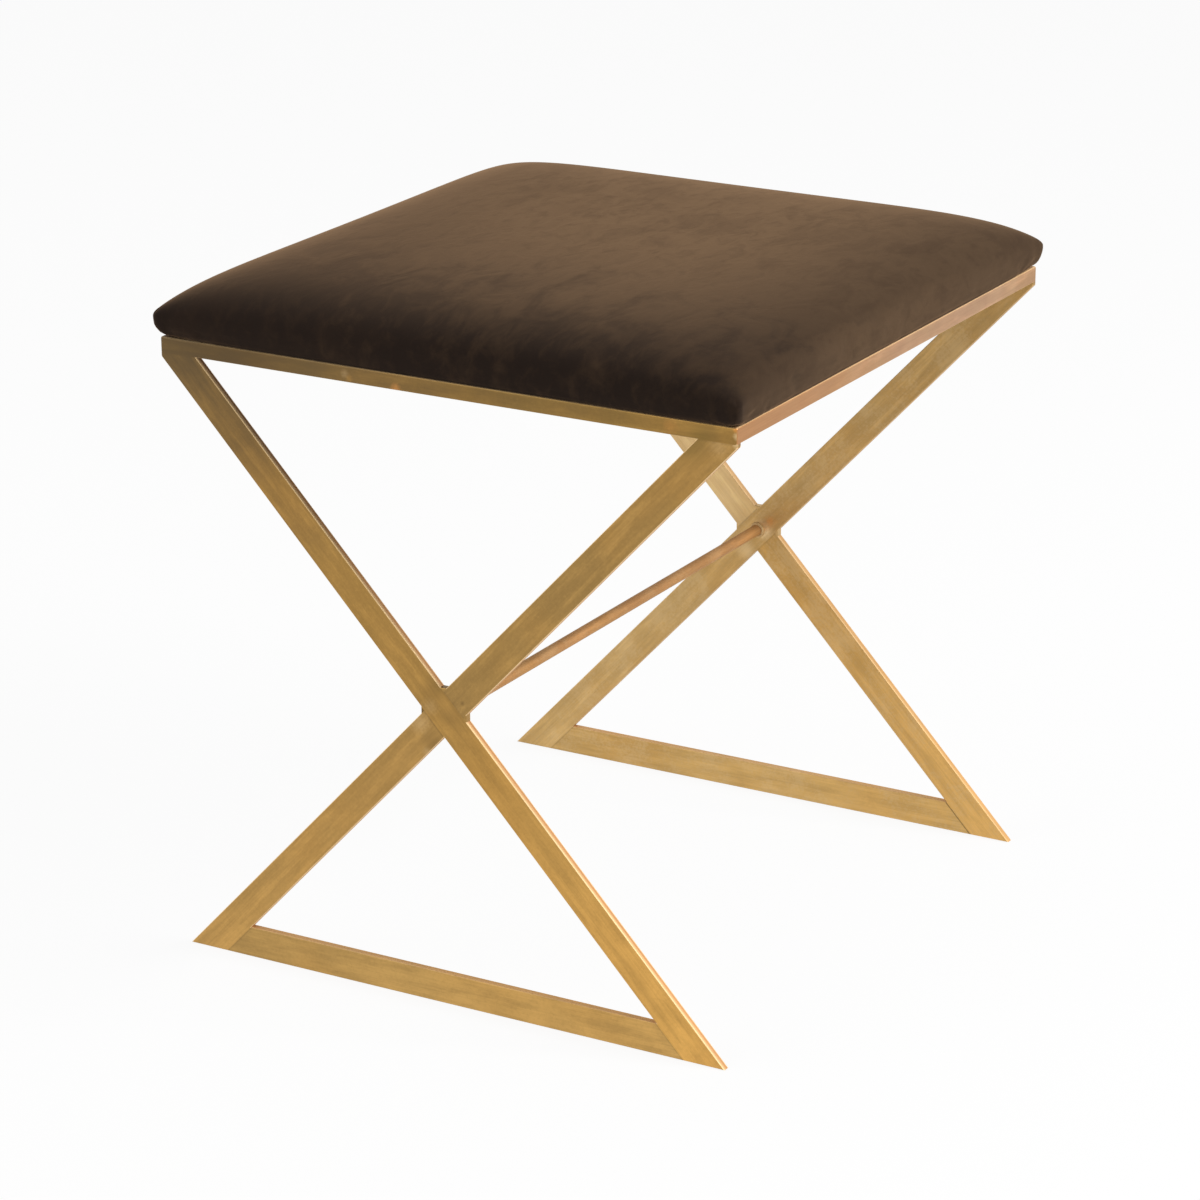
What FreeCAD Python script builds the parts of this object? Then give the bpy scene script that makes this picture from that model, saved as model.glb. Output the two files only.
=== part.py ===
import FreeCAD, Part

import os
from math import asin, atan2, cos, hypot, pi, sin, sqrt, tan

# A square stool: two X frames of flat bar, joined by four top rails and one round stretcher,
# under an upholstered slip seat that is screwed down on four corner plates.
# The origin is on the floor, in the middle of the frame. +X runs along the front frame to the
# right, +Y from the front frame to the back one, +Z up. Lengths are in millimetres.

# Frame, over the bars
frame_width = 500.0
frame_depth = 516.0
frame_height = 504.0
foot_span = 486.0  # from toe to toe of one X frame
leg_trim = 2.5  # how far a leg's lower edge would pass the rail's end, ground off flush

# Flat bar, rod and welds
leg_width = 25.4
bar_thickness = 6.35
foot_bar_height = 25.4
rail_height = 12.7
rod_diameter = 9.525
edge_round = 0.8  # on the long edges of the bars
corner_round = 1.6  # on the four upright corners of the top frame
cross_weld = 4.0  # leg of the weld beads in the corners of a crossing
rod_weld = 2.6  # leg of the ring weld round each end of the rod

# Corner plates inside the top frame
plate_leg = 46.0
plate_thickness = 3.0
plate_drop = 1.0  # from the rails' top down to the plates' top
plate_tip = 6.0  # width left at both ends of the long side

# Screws and washers
screw_offset = 15.0  # from both rails' inner faces to the screw
screw_diameter = 4.0
screw_cover = 2.0  # wood left above the screw's point
screw_point = 3.0  # length of the cone at the end
head_diameter = 8.0
head_height = 2.6
head_round = 1.3
recess_width = 1.0  # cross recess in the head
recess_length = 4.6
recess_depth = 1.6
washer_diameter = 11.0
washer_thickness = 1.0
hole_play = 0.5  # all round the screw, in the plate, the washer and the cloth
pilot_play = 0.05  # all round the screw, in the board

# Cushion form
cushion_height = 50.5  # from the rails' top to the crown
side_overhang = 4.6  # past the side rails, at the corners
front_overhang = 6.8  # past the front and back rails, at the corners
side_pull = 4.0  # how far the sides pull in between the corners
bulge_height = 17.0  # from the rails' top to the widest line
bulge_corner = 7.0  # plan radius of the corners at the widest line
crown_flatness = 6.35  # a higher power keeps the crown flat for longer
shoulder_power = 0.43  # a lower power makes the shoulder steeper
crown_flat = 130.0  # half width of the flat in the middle of the crown
levels_under = 5  # sections below the widest line
levels_over = 11  # sections above it

# Board and cloth
board_thickness = 12.0
board_inset = 4.0  # from the rails' outer faces to the padded edge of the board
board_corner = 20.0  # plan radius of the padding at the board
board_play = 0.4  # all round the board, inside the padding
cover_thickness = 1.0
cover_turn_under = 45.0  # width of the velvet on the underside of the board
dust_cover_thickness = 0.4
dust_cover_play = 2.5  # from the rails' inner faces

# Staples
staple_crown = 10.6
staple_leg = 8.0
wire_width = 1.2
wire_height = 0.5
cover_staple_margin = 15.0  # from the velvet's cut edge
cover_staple_pitch = 46.0
dust_staple_margin = 8.0  # from the dust cover's edge
dust_staple_pitch = 56.0
staple_corner_gap = 42.0  # from a corner of the row to its first staple

overrun = 5.0  # how far a cutting shape runs past what it cuts
near = 1e-6  # lengths that differ by less are the same

V = FreeCAD.Vector
UP = V(0, 0, 1)
ORIGIN = V(0, 0, 0)

half_width = frame_width / 2
half_depth = frame_depth / 2
inner_width = half_width - bar_thickness
inner_depth = half_depth - bar_thickness
rail_bottom = frame_height - rail_height

# A leg's upper edge starts at its toe, and its lower edge passes the trimmed corner at the rail
leg_run = foot_span / 2 + half_width + leg_trim
leg_angle = atan2(rail_bottom, leg_run) + asin(leg_width / hypot(leg_run, rail_bottom))
leg_reach = 2 * hypot(leg_run, rail_bottom)
crossing_height = foot_span / 2 * tan(leg_angle) - leg_width / 2 / cos(leg_angle)

nodes = {}


def extruded(points, run):
    """The solid that a flat outline of points sweeps along run."""
    return Part.Face(Part.makePolygon(points + points[:1])).extrude(run)


def plate_prism(outline, start, depth):
    """A prism along Y from start, over depth, on an outline of (x, z)."""
    return extruded([V(x, start, z) for x, z in outline], V(0, depth, 0))


def block(half_x, half_y, low, high):
    """A box about the Z axis, from height low to height high."""
    return Part.makeBox(2 * half_x, 2 * half_y, high - low, V(-half_x, -half_y, low))


def on_leg(side, along, inward):
    """(x, z) on the leg whose toe is on the given side, -1 or 1: so far along it from the toe,
    and so far inward from its upper edge."""
    x = foot_span / 2 - along * cos(leg_angle) - inward * sin(leg_angle)
    z = along * sin(leg_angle) - inward * cos(leg_angle)
    return side * x, z


def leg_band(side, start, depth):
    """The endless band of one diagonal, as wide as the leg."""
    ends = [(-leg_reach, 0), (leg_reach, 0), (leg_reach, leg_width), (-leg_reach, leg_width)]
    return plate_prism([on_leg(side, along, inward) for along, inward in ends], start, depth)


def between_feet(top):
    """The outline between the two legs, from the floor up to height top."""
    at_floor = leg_width / tan(leg_angle)
    low, _ = on_leg(1, at_floor, leg_width)
    high, _ = on_leg(1, at_floor + top / sin(leg_angle), leg_width)
    return [(-low, 0), (low, 0), (high, top), (-high, top)]


def weld_outlines(size):
    """The beads in the left, top and right corners of a crossing, size along each bar's edge."""
    outlines = []
    for angle, half_gap in ((pi, leg_angle), (pi / 2, pi / 2 - leg_angle), (0, leg_angle)):
        corner = leg_width / 2 / sin(half_gap)
        x, z = corner * cos(angle), crossing_height + corner * sin(angle)
        tips = [(x + size * cos(t), z + size * sin(t)) for t in (angle - half_gap, angle + half_gap)]
        outlines.append([(x, z)] + tips)
    return outlines


def is_outside_corner(solid, edge):
    """True for an edge where two faces meet in a ridge, and not smoothly or in a hollow."""
    faces = solid.ancestorsOfType(edge, Part.Face)
    middle = edge.valueAt((edge.FirstParameter + edge.LastParameter) / 2)
    out = [face.normalAt(*face.Surface.parameter(middle)) for face in faces]
    if len(out) != 2 or out[0].isEqual(out[1], 0.01):
        return False
    step = (out[0] - out[1]) * (edge_round / 20)
    return not any(solid.isInside(middle + side, near, True) for side in (step, -step))


def rounded_rectangle(half_x, half_y, radius, height, pull=0.0):
    """A closed wire in plan. Its sides pull in by pull between the corners."""
    flat_x, flat_y = half_x - radius, half_y - radius
    waist_x, waist_y = half_x - pull, half_y - pull
    corners = [(1, 1), (-1, 1), (-1, -1), (1, -1)]
    waists = [(0, waist_y), (-waist_x, 0), (0, -waist_y), (waist_x, 0)]
    arcs = []
    for turn, (side_x, side_y) in enumerate(corners):
        centre = V(side_x * flat_x, side_y * flat_y, height)
        angles = [(turn + share) * pi / 2 for share in (0, 0.5, 1)]
        arcs.append([centre + V(cos(angle), sin(angle), 0) * radius for angle in angles])
    edges = []
    for turn, arc in enumerate(arcs):
        start, end = arc[-1], arcs[(turn + 1) % 4][0]
        waist = V(waists[turn][0], waists[turn][1], height)
        side = Part.Arc(start, waist, end) if pull > 0 else Part.LineSegment(start, end)
        edges += [Part.Arc(*arc).toShape(), side.toShape()]
    return Part.Wire(edges)


def cushion_form(inset):
    """The closed form of the upholstered seat, or of what lies by inset within it."""
    half_x = half_width + side_overhang - inset
    half_y = half_depth + front_overhang - inset
    low = frame_height + inset
    widest = frame_height + bulge_height
    crown = frame_height + cushion_height - inset
    sections = []
    # Below its widest line the side rolls under, in a quarter of an ellipse, to the board's edge
    roll_x = side_overhang + board_inset - cover_thickness
    roll_y = front_overhang + board_inset - cover_thickness
    low_corner = board_corner + cover_thickness - inset
    for level in range(levels_under):
        turn = level / levels_under * pi / 2
        share = 1 - sin(turn)
        radius = bulge_corner + (low_corner - bulge_corner) * share
        height = widest - (widest - low) * cos(turn)
        x, y = half_x - roll_x * share, half_y - roll_y * share
        sections.append(rounded_rectangle(x, y, radius, height, side_pull * sin(turn)))
    # Above it, a level line of the crown is where (1 - u^p) (1 - v^p) stays the same
    power = 1 / crown_flatness
    last_share = 1 - (crown_flat / half_x) ** crown_flatness
    for level in range(levels_over):
        share = last_share * (level / (levels_over - 1)) ** 2
        edge = 1 - (1 - share) ** power
        diagonal = 1 - (1 - sqrt(share)) ** power
        radius = bulge_corner * (1 - share) + half_x * (diagonal - edge) / (1 - 1 / sqrt(2))
        height = widest + (crown - widest) * share**shoulder_power
        x, y = half_x * (1 - edge), half_y * (1 - edge)
        sections.append(rounded_rectangle(x, y, radius, height, side_pull * (1 - edge)))
    return Part.makeLoft(sections, True, True)


def staple(low):
    """One staple along X, with its crown's underside at height low and its legs up."""
    half_crown, half_wire = staple_crown / 2, wire_width / 2
    bridge = Part.makeBox(staple_crown, wire_width, wire_height, V(-half_crown, -half_wire, low))
    legs = [
        Part.makeBox(wire_height, wire_width, staple_leg, V(x, -half_wire, low))
        for x in (-half_crown, half_crown - wire_height)
    ]
    return bridge.fuse(legs).removeSplitter()


def staple_rows(half_x, half_y, pitch, low):
    """Staples along the four sides of a rectangle, at even steps near the pitch."""
    made = []
    for quarter, (along, across) in enumerate(((half_x, half_y), (half_y, half_x))):
        run = along - staple_corner_gap
        steps = max(1, round(2 * run / pitch))
        for number in range(steps + 1):
            for side in (-1, 1):
                one = staple(low)
                one.translate(V(run * (2 * number / steps - 1), side * across, 0))
                one.rotate(ORIGIN, UP, 90 * quarter)
                made.append(one)
    return made


def four_corners(shape):
    """A shape in the front left corner, with its mirror images in the other three."""
    right = shape.mirror(ORIGIN, V(1, 0, 0))
    return {
        "front_left": shape,
        "front_right": right,
        "back_left": shape.mirror(ORIGIN, V(0, 1, 0)),
        "back_right": right.mirror(ORIGIN, V(0, 1, 0)),
    }


# The welded frame is first made whole, so that the rounding runs on over its ground joints
room_for_legs = block(half_width, half_depth, 0, rail_bottom)
bars = []
for start in (-half_depth, inner_depth):
    bars += [leg_band(side, start, bar_thickness).common(room_for_legs) for side in (-1, 1)]
    bars.append(plate_prism(between_feet(foot_bar_height), start, bar_thickness))
    bars += [plate_prism(bead, start, bar_thickness) for bead in weld_outlines(cross_weld)]
outside = block(half_width, half_depth, rail_bottom, frame_height)
inside = block(inner_width, inner_depth, rail_bottom, frame_height)
frame = outside.cut(inside).fuse(bars).removeSplitter().Solids[0]


def is_upright(edge):
    """True for an edge on one of the four outer upright corners."""
    return all(
        abs(abs(end.X) - half_width) < near and abs(abs(end.Y) - half_depth) < near
        for end in edge.Vertexes
    )


def runs_through_bar(edge):
    """True for an edge from the front to the back face of one bar, which stays sharp."""
    run = edge.Vertexes[-1].Point - edge.Vertexes[0].Point
    return hypot(run.x, run.z) < near and abs(run.y) < bar_thickness + near


frame = frame.makeFillet(corner_round, [edge for edge in frame.Edges if is_upright(edge)])
ridges = [edge for edge in frame.Edges if is_outside_corner(frame, edge)]
frame = frame.makeFillet(edge_round, [edge for edge in ridges if not runs_through_bar(edge)])

# Then it is parted at its joints. The back X is the front one turned half round, so there the
# other diagonal is the whole one
under_rails = block(frame_width, frame_depth, -overrun, rail_bottom)
for name, start, whole in (("front", -half_depth, 1), ("back", inner_depth, -1)):
    start, depth = start - overrun, bar_thickness + 2 * overrun
    long_band = leg_band(whole, start, depth).common(under_rails)
    halves = leg_band(-whole, start, depth).common(under_rails).cut(long_band).Solids
    lower, upper = sorted(halves, key=lambda half: half.CenterOfMass.z)
    nodes[f"{name}_leg_long"] = frame.common(long_band)
    nodes[f"{name}_leg_lower"] = frame.common(lower)
    nodes[f"{name}_leg_upper"] = frame.common(upper)
    opening = plate_prism(between_feet(foot_bar_height + overrun), start, depth)
    nodes[f"{name}_foot_bar"] = frame.common(opening)
    corners = [plate_prism(bead, start, depth) for bead in weld_outlines(2 * cross_weld)]
    beads = [frame.common(corner).Solids[0] for corner in corners]
    nodes[f"{name}_cross_welds"] = Part.makeCompound(beads)

# The four rails meet in mitres, on the lines from the inner to the outer corners
around = [(-1, -1), (1, -1), (1, 1), (-1, 1)]
inner_ring = [V(x * (inner_width - overrun), y * (inner_depth - overrun), 0) for x, y in around]
outer_ring = [V(x * (half_width + overrun), y * (half_depth + overrun), 0) for x, y in around]
for number, name in enumerate(("front_rail", "right_rail", "back_rail", "left_rail")):
    after = (number + 1) % 4
    plan = [inner_ring[number], inner_ring[after], outer_ring[after], outer_ring[number]]
    sector = extruded([point + UP * rail_bottom for point in plan], UP * (rail_height + overrun))
    nodes[name] = frame.common(sector)

# The stretcher runs from crossing to crossing, with a ring weld round each end
rod_radius = rod_diameter / 2
rod_start = V(0, -inner_depth, crossing_height)
back = V(0, 1, 0)
nodes["stretcher_rod"] = Part.makeCylinder(rod_radius, 2 * inner_depth, rod_start, back)
ring = Part.makeCone(rod_radius + rod_weld, rod_radius, rod_weld, rod_start, back)
ring = ring.cut(Part.makeCylinder(rod_radius, rod_weld, rod_start, back))
nodes["stretcher_welds"] = Part.makeCompound([ring, ring.mirror(ORIGIN, back)])

# A corner plate is a triangle welded to the inner faces of two rails, just under their top
plate_bottom = frame_height - plate_drop - plate_thickness
plate_corner = V(-inner_width, -inner_depth, plate_bottom)
outline = [(0, 0), (plate_leg, 0), (plate_leg, plate_tip), (plate_tip, plate_leg), (0, plate_leg)]
plate = extruded([plate_corner + V(x, y, 0) for x, y in outline], UP * plate_thickness)
screw_axis = V(screw_offset - inner_width, screw_offset - inner_depth, 0)


def on_screw_axis(radius, low, high):
    """A cylinder about the front left screw's axis, between two heights."""
    return Part.makeCylinder(radius, high - low, screw_axis + UP * low)


screw_radius = screw_diameter / 2
board_bottom = frame_height + cover_thickness
drill = on_screw_axis(screw_radius + hole_play, plate_bottom - overrun, board_bottom)
for place, shape in four_corners(plate.cut(drill)).items():
    nodes[f"corner_plate_{place}"] = shape

# Under each plate a washer and a pan head screw, which goes up through it into the board
washer_bottom = plate_bottom - washer_thickness
head_bottom = washer_bottom - head_height
screw_top = board_bottom + board_thickness - screw_cover
washer = on_screw_axis(washer_diameter / 2, washer_bottom, plate_bottom).cut(drill)
head = on_screw_axis(head_diameter / 2, head_bottom, washer_bottom)
rim = [edge for edge in head.Edges if edge.BoundBox.ZMax < head_bottom + near]
shank = on_screw_axis(screw_radius, washer_bottom, screw_top - screw_point)
tip_start = screw_axis + UP * (screw_top - screw_point)
point = Part.makeCone(screw_radius, 0, screw_point, tip_start)
recess_top = head_bottom + recess_depth
cross = block(recess_length / 2, recess_width / 2, head_bottom, recess_top)
cross = cross.fuse(block(recess_width / 2, recess_length / 2, head_bottom, recess_top))
cross.translate(screw_axis)
screw = head.makeFillet(head_round, rim).fuse([shank, point]).removeSplitter().cut(cross)
nodes["seat_washers"] = Part.makeCompound(list(four_corners(washer).values()))
nodes["seat_screws"] = Part.makeCompound(list(four_corners(screw).values()))

# The slip seat: a board and its padding, with velvet wrapped round the edge
board_x = half_width - board_inset - board_play
board_y = half_depth - board_inset - board_play
board_outline = rounded_rectangle(board_x, board_y, board_corner - board_play, board_bottom)
board = Part.Face(board_outline).extrude(UP * board_thickness)
padding = cushion_form(cover_thickness)
cut_x, cut_y = board_x - cover_turn_under, board_y - cover_turn_under
cover = cushion_form(0).cut([padding, block(cut_x, cut_y, frame_height - overrun, board_bottom)])

# A dust cover closes the underside between the rails
dust_x, dust_y = inner_width - dust_cover_play, inner_depth - dust_cover_play
dust_bottom = frame_height - dust_cover_thickness
dust_cover = block(dust_x, dust_y, dust_bottom, frame_height)

# Staples hold the velvet, pressed in flush, and the dust cover, on its face
cover_row = [cut_x + cover_staple_margin, cut_y + cover_staple_margin]
cover_staples = staple_rows(*cover_row, cover_staple_pitch, frame_height)
dust_row = [dust_x - dust_staple_margin, dust_y - dust_staple_margin]
dust_staples = staple_rows(*dust_row, dust_staple_pitch, dust_bottom - wire_height)
shafts = list(four_corners(drill).values())
pilot = on_screw_axis(screw_radius + pilot_play, board_bottom, screw_top)
pilots = list(four_corners(pilot).values())
nodes["seat_board"] = board.cut(pilots + cover_staples + dust_staples)
nodes["seat_foam"] = padding.cut(board)
nodes["seat_cover"] = cover.cut(shafts + cover_staples + dust_staples)
nodes["dust_cover"] = dust_cover.cut(shafts + dust_staples)
nodes["cover_staples"] = Part.makeCompound(cover_staples)
nodes["dust_cover_staples"] = Part.makeCompound(dust_staples)

os.makedirs("parts", exist_ok=True)
for name, shape in nodes.items():
    shape.exportStep(f"parts/{name}.step")
    print(name, len(shape.Solids), round(shape.Volume), shape.isValid())
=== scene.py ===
from math import asin, atan2, cos, hypot, pi, radians, sin

import bpy
import numpy as np
from mathutils import Matrix, Vector


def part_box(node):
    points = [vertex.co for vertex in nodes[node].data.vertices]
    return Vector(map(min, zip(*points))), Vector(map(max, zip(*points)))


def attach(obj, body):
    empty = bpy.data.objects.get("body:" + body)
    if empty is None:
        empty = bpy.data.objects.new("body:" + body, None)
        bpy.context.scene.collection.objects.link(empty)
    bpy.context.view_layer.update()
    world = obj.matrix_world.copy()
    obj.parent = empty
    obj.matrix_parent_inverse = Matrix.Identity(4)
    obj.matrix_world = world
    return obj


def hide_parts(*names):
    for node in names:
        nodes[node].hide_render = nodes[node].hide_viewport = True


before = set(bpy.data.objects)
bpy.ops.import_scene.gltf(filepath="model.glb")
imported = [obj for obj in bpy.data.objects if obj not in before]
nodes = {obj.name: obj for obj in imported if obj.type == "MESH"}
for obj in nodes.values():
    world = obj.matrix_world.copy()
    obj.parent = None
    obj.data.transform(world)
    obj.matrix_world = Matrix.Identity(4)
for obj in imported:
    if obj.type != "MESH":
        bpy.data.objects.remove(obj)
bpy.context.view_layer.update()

# Bars of the welded frame: two X frames of flat bar, the foot bars, four rails and a round rod.
# Brass-plated steel, brushed along each bar and antiqued, with a painted highlight along its rounded
# edges. A small plate in each upper corner takes a screw of the seat.
front_low, front_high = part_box("front_rail")
foot_low, foot_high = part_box("front_foot_bar")
rod_low, rod_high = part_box("stretcher_rod")
rail_height = front_high.z - front_low.z
bar_thickness = front_high.y - front_low.y
leg_width = foot_high.z - foot_low.z
rod_diameter = rod_high.x - rod_low.x
half_width = front_high.x
half_depth = -front_low.y
frame_top = front_high.z
rail_bottom = front_low.z
rail_middle = frame_top - rail_height / 2
crossing_height = (rod_low.z + rod_high.z) / 2

# A leg's middle line passes through the crossing, and its upper edge, half a width away, meets
# the floor at the toe, the point of the leg that reaches furthest out
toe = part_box("front_leg_long")[1].x
leg_half = hypot(toe, crossing_height)
leg_angle = atan2(crossing_height, toe) + asin(leg_width / 2 / leg_half)
edge_round = 0.0008


class Wire:
    """One output of a shader node. Arithmetic on wires and plain numbers adds Math nodes."""

    def __init__(self, tree, socket=None):
        self.tree = tree
        self.socket = socket

    def connect(self, node, inputs):
        """Gives each named socket of a node its wire or its value."""
        for name, value in inputs.items():
            if isinstance(value, Wire):
                self.tree.links.new(value.socket, node.inputs[name])
            else:
                node.inputs[name].default_value = value

    def node(self, kind, inputs, settings=None, output=0):
        """A new node: first its settings, then a value or a wire for each of its sockets."""
        made = self.tree.nodes.new("ShaderNode" + kind)
        for name, value in (settings or {}).items():
            setattr(made, name, value)
        self.connect(made, inputs)
        return Wire(self.tree, made.outputs[output])

    def math(self, operation, *values):
        return self.node("Math", dict(enumerate(values)), {"operation": operation})

    def __add__(self, other):
        return self.math("ADD", self, other)

    def __sub__(self, other):
        return self.math("SUBTRACT", self, other)

    def __rsub__(self, other):
        return self.math("SUBTRACT", other, self)

    def __mul__(self, other):
        return self.math("MULTIPLY", self, other)

    __radd__ = __add__
    __rmul__ = __mul__

    def magnitude(self):
        return self.math("ABSOLUTE", self)

    def highest(self, other):
        return self.math("MAXIMUM", self, other)

    def between(self, low, high):
        """0 where the value is at or under low, 1 at or over high, and smooth in between."""
        inputs = {"Value": self, "From Min": low, "From Max": high}
        return self.node("MapRange", inputs, {"interpolation_type": "SMOOTHSTEP"})

    def mix(self, first, second):
        """The first colour where the mask is 0, and the second where it is 1."""
        settings = {"data_type": "RGBA", "clamp_factor": True}
        return self.node("Mix", {0: self, 6: first, 7: second}, settings, output=2)

    def place(self):
        """The place of each point on the finished stool, in metres."""
        return self.node("TexCoord", {}, output=3)

    def axis(self, number):
        """The distance of a place along x, y or z, which are numbered 0, 1 and 2."""
        return self.node("SeparateXYZ", {"Vector": self}, output=number)

    def along(self, direction):
        """How far a place lies along a direction."""
        return self.node("VectorMath", {0: self, 1: direction}, {"operation": "DOT_PRODUCT"}, output=1)

    def distance(self, middle):
        """How far a place lies from a point."""
        return self.node("VectorMath", {0: self, 1: middle}, {"operation": "DISTANCE"}, output=1)

    def stretched(self, scale):
        """A place, with each of its axes multiplied by its own number."""
        return self.node("VectorMath", {0: self, 1: scale}, {"operation": "MULTIPLY"})

    def noise(self, scale, detail=3.0, roughness=0.5, distortion=0.0):
        inputs = {"Vector": self, "Scale": scale, "Detail": detail}
        inputs |= {"Roughness": roughness, "Distortion": distortion}
        return self.node("TexNoise", inputs)

    def bump(self, strength=0.5):
        """A surface that rises by this height, in metres."""
        return self.node("Bump", {"Height": self, "Distance": 1.0, "Strength": strength})


def linear(level):
    """How much light a level of 0 to 255 gives: a straight line where it is nearly black, and a
    power of 2.4 above that."""
    share = level / 255
    return share / 12.92 if share < 0.04 else ((share + 0.055) / 1.055) ** 2.4


def colour(red, green, blue):
    """A shader colour from its red, green and blue as a paint chart gives them, 0 to 255."""
    return [linear(red), linear(green), linear(blue), 1.0]


def scaled(tone, factor):
    """A tone of a paint chart made lighter or darker, as a shader colour."""
    return colour(*(min(255, level * factor) for level in tone))


def layered(ground, layers):
    """A ground colour under thin layers. A layer is its mask and its colour."""
    for mask, shade in layers:
        ground = mask.mix(ground, shade)
    return ground


def new_material(name):
    """An empty material, with a wire of its tree, and its Principled shader."""
    material = bpy.data.materials.new(name)
    material.use_nodes = True
    tree = material.node_tree
    return material, Wire(tree), tree.nodes["Principled BSDF"]


def dress(piece, material):
    piece.data.materials.clear()
    piece.data.materials.append(material)


# Each bar has a tone of its own
bar_tones = {
    "front_leg_long": (188, 146, 80),
    "front_leg_lower": (187, 147, 85),
    "front_leg_upper": (180, 143, 84),
    "front_foot_bar": (174, 139, 82),
    "front_rail": (162, 128, 70),
    "front_cross_welds": (182, 144, 84),
    "back_leg_long": (200, 164, 106),
    "back_leg_lower": (201, 159, 94),
    "back_leg_upper": (232, 194, 136),
    "back_foot_bar": (193, 156, 96),
    "back_rail": (204, 166, 110),
    "back_cross_welds": (214, 178, 122),
    "left_rail": (208, 162, 124),
    "right_rail": (208, 162, 124),
    "stretcher_rod": (190, 138, 82),
}
plate_tone = (150, 122, 76)
orange_gold = (196, 146, 74)
warm_edge = (200, 142, 92)
dark_edge = (112, 80, 58)
dark_patina = (100, 80, 50)
rail_end_dark = (84, 66, 42)
olive_patina = (128, 104, 56)
# The dark of the painted shade in the concave corners of the crossing
weld_corner_shade = (74, 56, 32)
# Pale brass of rubbed spots, and of the painted highlights on rounded edges and corners
rub_and_highlight = (244, 212, 160)
bare_brass = (255, 226, 176)
heat_orange = (238, 160, 84)
side_rail_tan = (184, 130, 80)

# How far from its middle a dark joint or seam begins to fade, and where it ends
joint_fade = (0.004, 0.040)
seam_fade = (0.0002, 0.0016)
# How wide the front strip of a narrow face is, where a painted highlight lies
highlight_strip_fade = (0.0014, 0.0042)
# The frame is lighter towards its feet, and darkest at the upper left
lightening_direction = (0.5, 0, -1)


def face_tone(tone, foot_lightness, mottle, toward_feet, drifts, clouds, streaks, grain):
    """The colour of a bar's faces: its own tone, lighter towards the feet, under blotches of
    orange, dark and light streaks, and the grain of the plating."""
    ground = toward_feet.between(-0.32, 0.16).mix(scaled(tone, 0.92), scaled(tone, foot_lightness))
    return layered(ground, (
        (drifts.between(0.40, 0.66) * 0.30, colour(*orange_gold)),
        (clouds.between(0.35, 0.70) * 0.25, scaled(tone, 0.80)),
        (streaks.between(0.42, 0.70) * 0.30, scaled(tone, 0.78)),
        ((1 - streaks.between(0.30, 0.50)) * 0.24, scaled(tone, 1.20)),
        ((grain + clouds).between(0.85, 1.25) * mottle, colour(*rub_and_highlight)),
        (grain.between(0.45, 0.75) * 0.14, scaled(tone, 0.72)),
        ((1 - grain.between(0.25, 0.50)) * 0.12, scaled(tone, 1.18)),
    ))


def stained(tint, whole, grain, seams, marks):
    """The colour with a dark line along each seam, and with a soft spot at each mark."""
    for normal, offset, shows in seams:
        line = 1 - (whole.along(normal) - offset).magnitude().between(*seam_fade)
        tint = (line * shows * (0.3 + grain)).mix(tint, colour(*dark_patina))
    for middle, radius, shade, shows in marks:
        ragged = whole.distance(middle) + (grain - 0.5) * radius * 0.9
        spot = 1 - ragged.between(0.0, 1.35 * radius)
        tint = (spot * shows).mix(tint, colour(*shade))
    return tint


def edge_masks(through, across, half_across):
    """Masks of a bar's two narrow faces, of their front strips, and of the rounded long edges. The strips
    and the edges take a painted highlight.
    """
    half_through = bar_thickness / 2
    from_front = through + half_through
    through, across = through.magnitude(), across.magnitude()
    flat = through.between(half_through - 0.00012, half_through - 0.00004)
    narrow = across.between(half_across - 0.00030, half_across - 0.00005) * (1 - flat)
    strip = narrow * (1 - from_front.between(*highlight_strip_fade))
    edge = across.between(half_across - edge_round, half_across - 0.6 * edge_round) * (1 - flat)
    edge = edge * through.between(half_through - 1.7 * edge_round, half_through - 1.2 * edge_round)
    return narrow, strip, edge


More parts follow.
